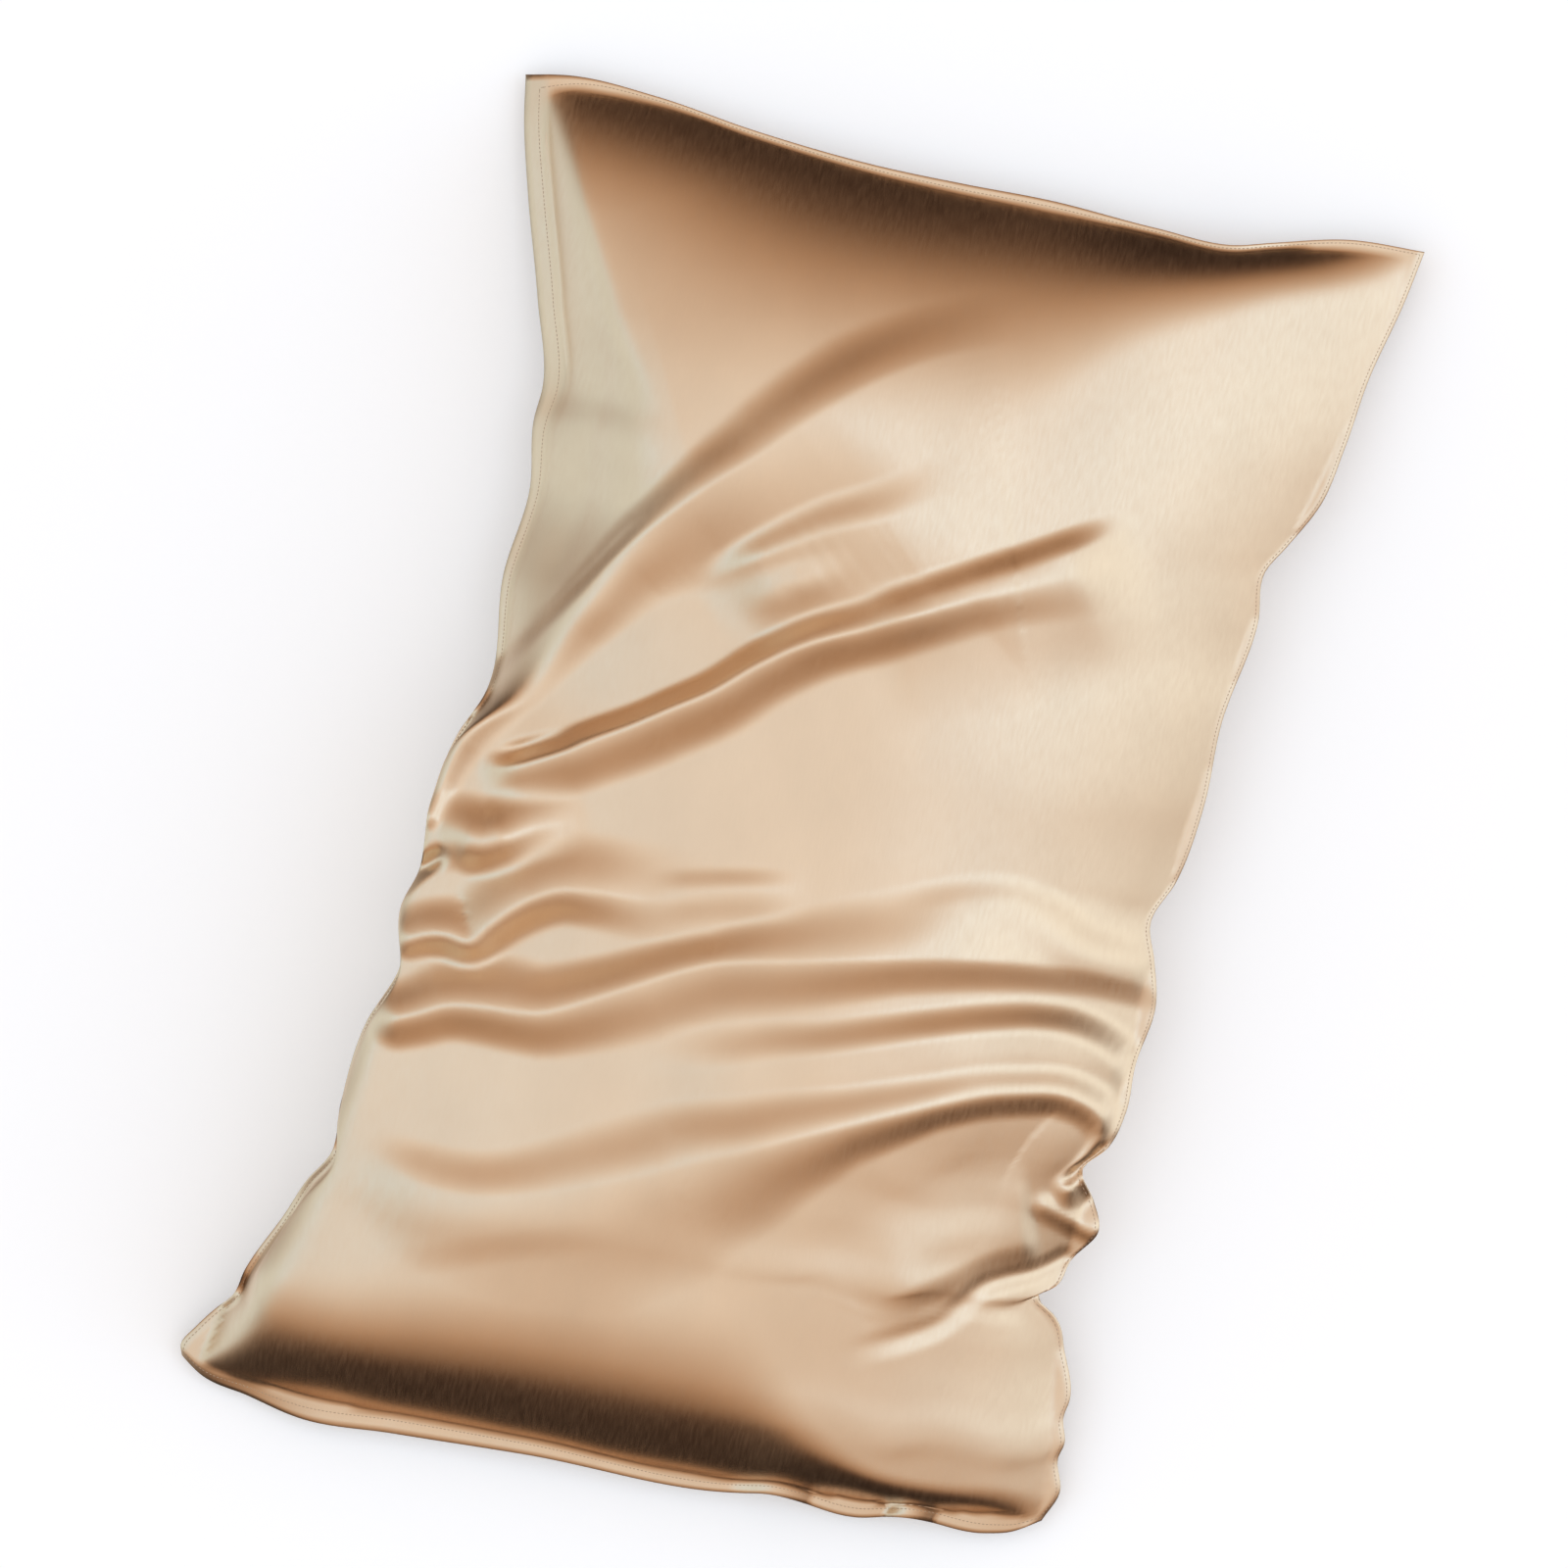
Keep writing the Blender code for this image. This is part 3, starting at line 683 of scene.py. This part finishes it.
@dataclass
class FilledCase:
    """The filled case: its crowned and folded front, its sewn lip and its belly."""

    columns: int = 226
    rows: int = 344
    back_step: int = 2             # the back's cells are this many times the front's
    lip_cells: int = 3
    lip_thickness: float = 2.6
    lip_tilt: float = 0.5          # how far the side lips lean down, rise over run
    ear_tilt: float = 1.0          # how far the lower left corner's lip leans down
    ear_length: float = 90.0
    fold_fade: float = 10.0
    rim_lift: float = 0.75         # the share of a fold's height that reaches the seam
    rim_fade: float = 12.0         # how far in the back follows the front's rim
    swell_rise: float = 13.0       # how far in the left bulge is widest
    swell_fall: float = 65.0       # how much further in it has died away
    calm_from: float = -20.0       # where along the left side its wave starts to die away
    calm_over: float = 40.0        # how much further along it is gone
    belly_drop: float = 62.0
    belly_reach: float = 95.0
    belly_roundness: float = 2.0
    crown: Crown = field(default_factory=Crown)
    finish: ChampagneSatin = field(default_factory=ChampagneSatin)

    def build(self) -> Object:
        """Sew the front and the back together.

        Returns:
            The case, without its finish.
        """
        bm = bmesh.new()
        front = bmesh.ops.create_grid(bm, x_segments=self.columns, y_segments=self.rows,
                                      size=0.5)["verts"]
        self._shape(front, Layer.FRONT)
        back = bmesh.ops.create_grid(bm, x_segments=self.columns // self.back_step,
                                     y_segments=self.rows // self.back_step,
                                     size=0.5)["verts"]
        self._shape(back, Layer.BACK)
        back_rim = {edge for vert in back for edge in vert.link_edges if edge.is_boundary}
        bmesh.ops.subdivide_edges(bm, edges=list(back_rim), cuts=self.back_step - 1)
        bmesh.ops.bridge_loops(bm, edges=[edge for edge in bm.edges if edge.is_boundary])
        bmesh.ops.recalc_face_normals(bm, faces=list(bm.faces))
        mesh = bpy.data.meshes.new("satin_case")
        bm.to_mesh(mesh)
        bm.free()
        mesh.shade_smooth()
        case = bpy.data.objects.new("satin_case", mesh)
        bpy.context.scene.collection.objects.link(case)
        return case

    def _shares(self, index: Array, count: int, first: Array, last: Array) -> Array:
        """Spread cell lines over an edge: narrow cells in the lips, even ones between.

        Args:
            index: the cell line's number, 0 to count.
            count: how many cells there are.
            first: the first lip's share of the width.
            last: the last lip's share of the width.

        Returns:
            Where each line lies, 0 to 1.
        """
        lip = self.lip_cells
        inner = (index - lip) / (count - 2 * lip)
        share = first + inner * (1 - first - last)
        share = np.where(index < lip, first * index / lip, share)
        return np.where(index > count - lip, 1 - last * (count - index) / lip, share)

    def _shape(self, verts: list[bmesh.types.BMVert], layer: Layer) -> None:
        """Move one flat grid to its place on the case.

        Args:
            verts: the grid's vertices.
            layer: whether this is the crowned front or the back.
        """
        step = self.back_step if layer is Layer.BACK else 1
        flat = np.array([vert.co[:2] for vert in verts]) + 0.5
        plan = self._lay_out(np.rint(flat[:, 0] * self.columns / step) * step,
                             np.rint(flat[:, 1] * self.rows / step) * step)
        placed = np.column_stack((plan.x + PLAN_SHIFT_MM[0], plan.y + PLAN_SHIFT_MM[1],
                                  self._height(plan, layer))) * MM
        for vert, place in zip(verts, placed):
            vert.co = place

    def _lay_out(self, column: Array, row: Array) -> Plan:
        """Place the crossings of the cell lines in plan.

        Args:
            column: the number of each point's line across the case.
            row: the number of its line along the case.

        Returns:
            Where the points lie.
        """
        near_u, near_v = column / self.columns, row / self.rows
        width = RIGHT_SIDE.column("out", near_v) - LEFT_SIDE.column("out", near_v)
        length = TOP_END.column("out", near_u) - HEM_END.column("out", near_u)
        u = self._shares(column, self.columns, LEFT_SIDE.column("lip", near_v) / width,
                         RIGHT_SIDE.column("lip", near_v) / width)
        v = self._shares(row, self.rows, HEM_END.column("lip", near_u) / length,
                         TOP_END.column("lip", near_u) / length)
        x, y, seam = (self._blend(measure, u, v) for measure in Measure)
        width = RIGHT_SIDE.column("out", v) - LEFT_SIDE.column("out", v)
        length = TOP_END.column("out", u) - HEM_END.column("out", u)
        inside = {"left": u * width - LEFT_SIDE.column("lip", v),
                  "right": (1 - u) * width - RIGHT_SIDE.column("lip", v),
                  "hem": v * length - HEM_END.column("lip", u),
                  "top": (1 - v) * length - TOP_END.column("lip", u)}
        from_left = np.maximum(inside["left"], 0.0)
        swell = through([row.at for row in LEFT_SWELL], [row.reach for row in LEFT_SWELL], y)
        x = x - swell * ease(from_left, self.swell_rise) * (
            1 - ease(from_left - self.swell_rise, self.swell_fall))
        return Plan(u, v, x, y, seam, inside)

    def _height(self, plan: Plan, layer: Layer) -> Array:
        """Lift one cloth: the front over the filling, or the back down to where it rests.

        Args:
            plan: where its points lie.
            layer: which cloth it is.

        Returns:
            The height of each point, in mm.
        """
        inside = plan.inside
        lift = np.zeros_like(plan.x)
        for fold in FOLDS:
            fold.add_to(lift, plan.x, plan.y)
        nearest = np.maximum(np.minimum.reduce(list(inside.values())), 0.0)
        z = plan.seam + self.lip_tilt * (np.minimum(inside["left"], 0.0)
                                         + np.minimum(inside["right"], 0.0))
        z = z + self.ear_tilt * np.minimum(inside["hem"], 0.0) * (
            1 - ease(np.maximum(inside["left"], 0.0), self.ear_length))
        calm = ease(np.maximum(plan.y - self.calm_from, 0.0), self.calm_over)
        waves = {"left": LEFT_SIDE.wave(plan.v) * (1 - calm), "right": -RIGHT_SIDE.wave(plan.v),
                 "hem": HEM_END.wave(plan.u), "top": -TOP_END.wave(plan.u)}
        rise = self.crown.height(plan.x, plan.y, {name: np.maximum(distance, 0.0) + waves[name]
                                                  for name, distance in inside.items()})
        if layer is Layer.FRONT:
            spread = self.rim_lift + (1 - self.rim_lift) * ease(nearest, self.fold_fade)
            return z + self.lip_thickness / 2 + rise + lift * spread
        belly = np.ones_like(plan.x)
        for distance in inside.values():
            belly = belly * arch(distance, self.belly_reach, self.belly_roundness)
        at_rim = (rise + self.rim_lift * lift) * (1 - ease(nearest, self.rim_fade))
        return np.maximum(z - self.lip_thickness / 2 - self.belly_drop * belly + at_rim, 0.0)

    @staticmethod
    def _blend(measure: Measure, u: Array, v: Array) -> Array:
        """Fill the space between the four edges with one measure (a Coons patch).

        Args:
            measure: which one.
            u: how far across, 0 to 1.
            v: how far along, 0 to 1.

        Returns:
            The value at each point.
        """
        zero, one = np.zeros(1), np.ones(1)
        corners = ((1 - u) * (1 - v) * LEFT_SIDE.read(measure, zero)
                   + u * (1 - v) * RIGHT_SIDE.read(measure, zero)
                   + (1 - u) * v * LEFT_SIDE.read(measure, one)
                   + u * v * RIGHT_SIDE.read(measure, one))
        return ((1 - u) * LEFT_SIDE.read(measure, v) + u * RIGHT_SIDE.read(measure, v)
                + (1 - v) * HEM_END.read(measure, u) + v * TOP_END.read(measure, u) - corners)

    def dress(self, case: Object) -> None:
        """Give the case its cloth directions and its finish.

        Args:
            case: the case that build made.
        """
        mesh = case.data
        layer = mesh.uv_layers.new(name=CLOTH_MAP)
        co = np.empty(len(mesh.vertices) * 3)
        mesh.vertices.foreach_get("co", co)
        corner = np.empty(len(mesh.loops), int)
        mesh.loops.foreach_get("vertex_index", corner)
        layer.uv.foreach_set("vector", co.reshape(-1, 3)[corner, :2].ravel().astype(np.float32))
        mesh.materials.append(self.finish.make("champagne_satin"))
        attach(case, "root")
        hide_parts(SOLID)

    def lip_lines(self, depth: int) -> list[list[tuple[Vector, Vector]]]:
        """Follow the front's lip all round, cell by cell.

        Args:
            depth: how many cells in from the edge.

        Returns:
            For each of the four sides, its points and the cloth's direction at each.
        """
        bm = bmesh.new()
        verts = bmesh.ops.create_grid(bm, x_segments=self.columns, y_segments=self.rows,
                                      size=0.5)["verts"]
        cells = {(round((vert.co.x + 0.5) * self.columns), round((vert.co.y + 0.5) * self.rows)):
                 vert for vert in verts}
        self._shape(verts, Layer.FRONT)
        bm.normal_update()
        rows = range(depth, self.rows - depth + 1)
        columns = range(depth, self.columns - depth + 1)
        sides = ([cells[depth, row] for row in rows],
                 [cells[self.columns - depth, row] for row in rows],
                 [cells[column, depth] for column in columns],
                 [cells[column, self.rows - depth] for column in columns])
        lines = [[(vert.co.copy(), vert.normal.copy()) for vert in side] for side in sides]
        bm.free()
        return lines


@dataclass(frozen=True)
class SewingThread:
    """Matt polyester thread, a shade browner than the cloth, with a twist in it."""

    colour: Colour = (0.52, 0.37, 0.24)
    roughness: float = 0.5
    twist_mm: float = 0.35
    twist_depth: float = 0.25      # a share of the twist's size
    twist_strength: float = 0.5

    def make(self, name: str) -> Material:
        """Build the finish.

        Args:
            name: what to call the material.

        Returns:
            The new material.
        """
        material = bpy.data.materials.new(name)
        material.use_nodes = True
        nodes, links = material.node_tree.nodes, material.node_tree.links
        shader = nodes["Principled BSDF"]
        shader.inputs["Base Color"].default_value = (*self.colour, 1.0)
        shader.inputs["Roughness"].default_value = self.roughness
        place = nodes.new("ShaderNodeTexCoord")
        twist = nodes.new("ShaderNodeTexNoise")
        twist.inputs["Scale"].default_value = 1 / (self.twist_mm * MM)
        bump = nodes.new("ShaderNodeBump")
        bump.inputs["Strength"].default_value = self.twist_strength
        bump.inputs["Distance"].default_value = self.twist_mm * MM * self.twist_depth
        links.new(place.outputs["Object"], twist.inputs["Vector"])
        links.new(twist.outputs["Fac"], bump.inputs["Height"])
        links.new(bump.outputs["Normal"], shader.inputs["Normal"])
        return material


@dataclass
class SeamStitches:
    """The row of machine stitches that closes the case along its lip."""

    case_maker: FilledCase
    depth: int = 2                 # how many cells in from the edge they run
    thread_mm: float = 0.55
    share: float = 0.72            # of each step, the rest is the needle's hole
    flatness: float = 0.8          # a stitch's height over its width
    around: int = 6
    rings: int = 4
    batch: int = 40                # stitches sewn at a time, which is quicker than all at once
    finish: SewingThread = field(default_factory=SewingThread)

    def build(self) -> Object:
        """Sew all four sides.

        Returns:
            Every stitch in one object, without its finish.
        """
        bm = bmesh.new()
        mesh = bpy.data.meshes.new("seam_stitches")
        for line in self.case_maker.lip_lines(self.depth):
            for first in range(0, len(line) - 1, self.batch):
                length = bmesh.new()
                for (start, out), (end, _) in zip(line[first:first + self.batch],
                                                  line[first + 1:first + self.batch + 1]):
                    self._stitch(length, start, end, out)
                length.to_mesh(mesh)
                length.free()
                bm.from_mesh(mesh)
        bm.to_mesh(mesh)
        bm.free()
        mesh.shade_smooth()
        stitches = bpy.data.objects.new("seam_stitches", mesh)
        bpy.context.scene.collection.objects.link(stitches)
        return stitches

    def _stitch(self, bm: bmesh.types.BMesh, start: Vector, end: Vector, out: Vector) -> None:
        """Lay one stitch, half sunk into the cloth.

        Args:
            bm: where the stitches are gathered.
            start: the needle's hole before it.
            end: the needle's hole after it.
            out: away from the cloth.
        """
        run = end - start
        along = run.normalized()
        across = out.cross(along).normalized()
        turn = Matrix((along, across, along.cross(across))).transposed().to_4x4()
        half = self.thread_mm * MM / 2
        size = Matrix.Diagonal((run.length / 2 * self.share, half, half * self.flatness, 1.0))
        bmesh.ops.create_uvsphere(
            bm, u_segments=self.around, v_segments=self.rings, radius=1.0,
            matrix=Matrix.Translation((start + end) / 2) @ turn @ size)

    def dress(self, stitches: Object) -> None:
        """Give the stitches their finish and fix them to the case.

        Args:
            stitches: the stitches that build made.
        """
        stitches.data.materials.append(self.finish.make("sewing_thread"))
        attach(stitches, "root")


# ---------------- the studio
@dataclass(frozen=True)
class PaleFloor:
    """The plain pale surface that the case lies on."""

    side: float = 24.0
    drop: float = 0.0005           # how far it lies below the case
    colour: Colour = (0.88, 0.87, 0.85)
    roughness: float = 0.9
    glow_colour: Colour = (1.0, 1.0, 1.0)
    glow: float = 0.25

    def build(self) -> Object:
        """Lay the floor and dress it.

        Returns:
            The floor, which is only the stage.
        """
        bm = bmesh.new()
        bmesh.ops.create_grid(bm, x_segments=1, y_segments=1, size=self.side / 2)
        mesh = bpy.data.meshes.new("floor")
        bm.to_mesh(mesh)
        bm.free()
        floor = bpy.data.objects.new("floor", mesh)
        floor.location.z = -self.drop
        bpy.context.scene.collection.objects.link(floor)
        material = bpy.data.materials.new("pale_floor")
        material.use_nodes = True
        shader = material.node_tree.nodes["Principled BSDF"]
        shader.inputs["Base Color"].default_value = (*self.colour, 1.0)
        shader.inputs["Roughness"].default_value = self.roughness
        shader.inputs["Emission Color"].default_value = (*self.glow_colour, 1.0)
        shader.inputs["Emission Strength"].default_value = self.glow
        mesh.materials.append(material)
        floor.visible_glossy = False
        floor.visible_diffuse = False
        return floor


class DomeRow(NamedTuple):
    """The dome's light at one angle from its bright band, in degrees."""

    angle: float
    light: Colour


@dataclass(frozen=True)
class Studio:
    """A soft dome of light: a bright band across the case, falling away along it.

    The band is warm at the right and cool at the left.  Towards both ends of the case the
    dome grows dim and brown, so slopes that face the ends turn dark.
    """

    strength: float = 1.0
    turn_deg: float = 14.0         # how far the band leans away from straight across
    band_centre_deg: float = 0.0   # how far the band's middle leans towards the plain end
    side_rise: float = 1.5         # how high up the dome its two bright sides reach
    left_focus: float = 2.0        # how narrow the left one is
    right_focus: float = 5.0       # how narrow the right one is
    tint_reach: float = 1.3        # how soon their tints take over
    fall: tuple[DomeRow, ...] = (
        DomeRow(0, (1.0, 1.0, 1.0)), DomeRow(16, (0.98, 0.97, 0.96)),
        DomeRow(33, (0.86, 0.80, 0.75)), DomeRow(57, (0.69, 0.55, 0.45)),
        DomeRow(78, (0.55, 0.37, 0.25)), DomeRow(94, (0.31, 0.185, 0.11)),
        DomeRow(105, (0.09, 0.045, 0.026)), DomeRow(116, (0.02, 0.008, 0.004)),
        DomeRow(180, (0.008, 0.004, 0.002)),
    )
    side: Colour = (1.0, 0.82, 0.65)        # the two bright sides
    left: Colour = (0.86, 1.25, 1.74)       # the tints of the left, the middle and the right
    middle: Colour = (1.0, 1.01, 1.05)
    right: Colour = (1.21, 1.68, 2.35)
    overhead: float = 0.0001                # keeps straight up from dividing by nothing

    def build(self) -> None:
        """Set the dome as the scene's world."""
        world = bpy.data.worlds.new("studio_dome")
        world.use_nodes = True
        background = world.node_tree.nodes["Background"]
        world.node_tree.links.new(self._light(NodeWriter(world.node_tree)),
                                  background.inputs["Color"])
        background.inputs["Strength"].default_value = self.strength
        bpy.context.scene.world = world
        bpy.context.scene.view_settings.view_transform = "Standard"

    def _light(self, writer: NodeWriter) -> Socket:
        """Join the band, the bright sides and the tints.

        Args:
            writer: adds the world's nodes.

        Returns:
            The dome's light.
        """
        nodes, links = writer.tree.nodes, writer.tree.links
        direction = nodes.new("ShaderNodeTexCoord")
        turn = nodes.new("ShaderNodeMapping")
        turn.inputs["Rotation"].default_value = (0.0, 0.0, -math.radians(self.turn_deg))
        links.new(direction.outputs["Generated"], turn.inputs["Vector"])
        axis = nodes.new("ShaderNodeSeparateXYZ")
        links.new(turn.outputs["Vector"], axis.inputs["Vector"])
        across, along, up = (axis.outputs[name] for name in "XYZ")
        across_sq = writer.math("MULTIPLY", across, across)
        level_sq = writer.math("ADD", across_sq, writer.math("MULTIPLY", along, along))
        aim = writer.math("DIVIDE", across_sq, writer.math("ADD", level_sq, self.overhead))
        low = writer.math("MULTIPLY", writer.math("SUBTRACT", 1.0, up), self.side_rise, clamp=True)
        right_aim = writer.math("MULTIPLY", writer.math("POWER", aim, self.right_focus),
                                writer.math("GREATER_THAN", across, 0.0))
        left_aim = writer.math("MULTIPLY", writer.math("POWER", aim, self.left_focus),
                               writer.math("LESS_THAN", across, 0.0))
        side_on = writer.math("MULTIPLY", writer.math("ADD", right_aim, left_aim), low)
        fall = writer.mix(side_on, self._band(writer, along, up), self.side)
        to_right = writer.math("MULTIPLY", writer.math("MULTIPLY", across, right_aim),
                               self.tint_reach, clamp=True)
        to_left = writer.math("MULTIPLY", writer.math("MULTIPLY", across, left_aim),
                              -self.tint_reach, clamp=True)
        tint = writer.mix(to_left, writer.mix(to_right, self.middle, self.right), self.left)
        return writer.mix(1.0, fall, tint, kind="MULTIPLY")

    def _band(self, writer: NodeWriter, along: Socket,
              up: Socket) -> Socket:
        """Let the light fall away along the case from its bright band.

        Args:
            writer: adds the world's nodes.
            along: how far a direction leans towards the plain end.
            up: how far it points up.

        Returns:
            The band's light.
        """
        ramp = writer.tree.nodes.new("ShaderNodeValToRGB")
        stops = ramp.color_ramp.elements
        while len(stops) < len(self.fall):
            stops.new(1.0)
        for stop, row in zip(stops, self.fall):
            stop.position = row.angle / 180.0
            stop.color = (*row.light, 1.0)
        away = writer.math("SUBTRACT", writer.math("ARCTAN2", along, up),
                           math.radians(self.band_centre_deg))
        half_turns = writer.math("DIVIDE", writer.math("ABSOLUTE", away), math.pi)
        writer.tree.links.new(half_turns, ramp.inputs["Fac"])
        return ramp.outputs["Color"]


@dataclass(frozen=True)
class OverheadCamera:
    """A long lens straight above the case, turned as the photograph was."""

    height: float = 9.0
    seam_height: float = 0.05
    sensor_mm: float = 36.0

    def build(self) -> Object:
        """Set up the camera and make it the scene's own.

        Returns:
            The camera.
        """
        data = bpy.data.cameras.new("camera")
        data.sensor_width = self.sensor_mm
        half_view = PHOTO_SIZE_PX * PHOTO_SCALE_MM * MM / 2
        data.lens = self.sensor_mm / 2 * (self.height - self.seam_height) / half_view
        camera = bpy.data.objects.new("camera", data)
        camera.location = (VIEW_CENTRE_MM[0] * MM, VIEW_CENTRE_MM[1] * MM, self.height)
        camera.rotation_euler = Euler((0.0, 0.0, math.radians(PHOTO_TURN_DEG)))
        bpy.context.scene.collection.objects.link(camera)
        bpy.context.scene.camera = camera
        return camera


def main() -> None:
    """Build and dress the case, then the studio round it."""
    logging.basicConfig(level=logging.INFO, format="%(name)s: %(message)s")
    OverheadCamera().build()
    case_maker = FilledCase()
    case = case_maker.build()
    case_maker.dress(case)
    LOG.info("%s: %d faces", case.name, len(case.data.polygons))
    stitch_maker = SeamStitches(case_maker)
    stitches = stitch_maker.build()
    stitch_maker.dress(stitches)
    LOG.info("%s: %d faces", stitches.name, len(stitches.data.polygons))
    PaleFloor().build()
    Studio().build()


if __name__ == "__main__":
    main()
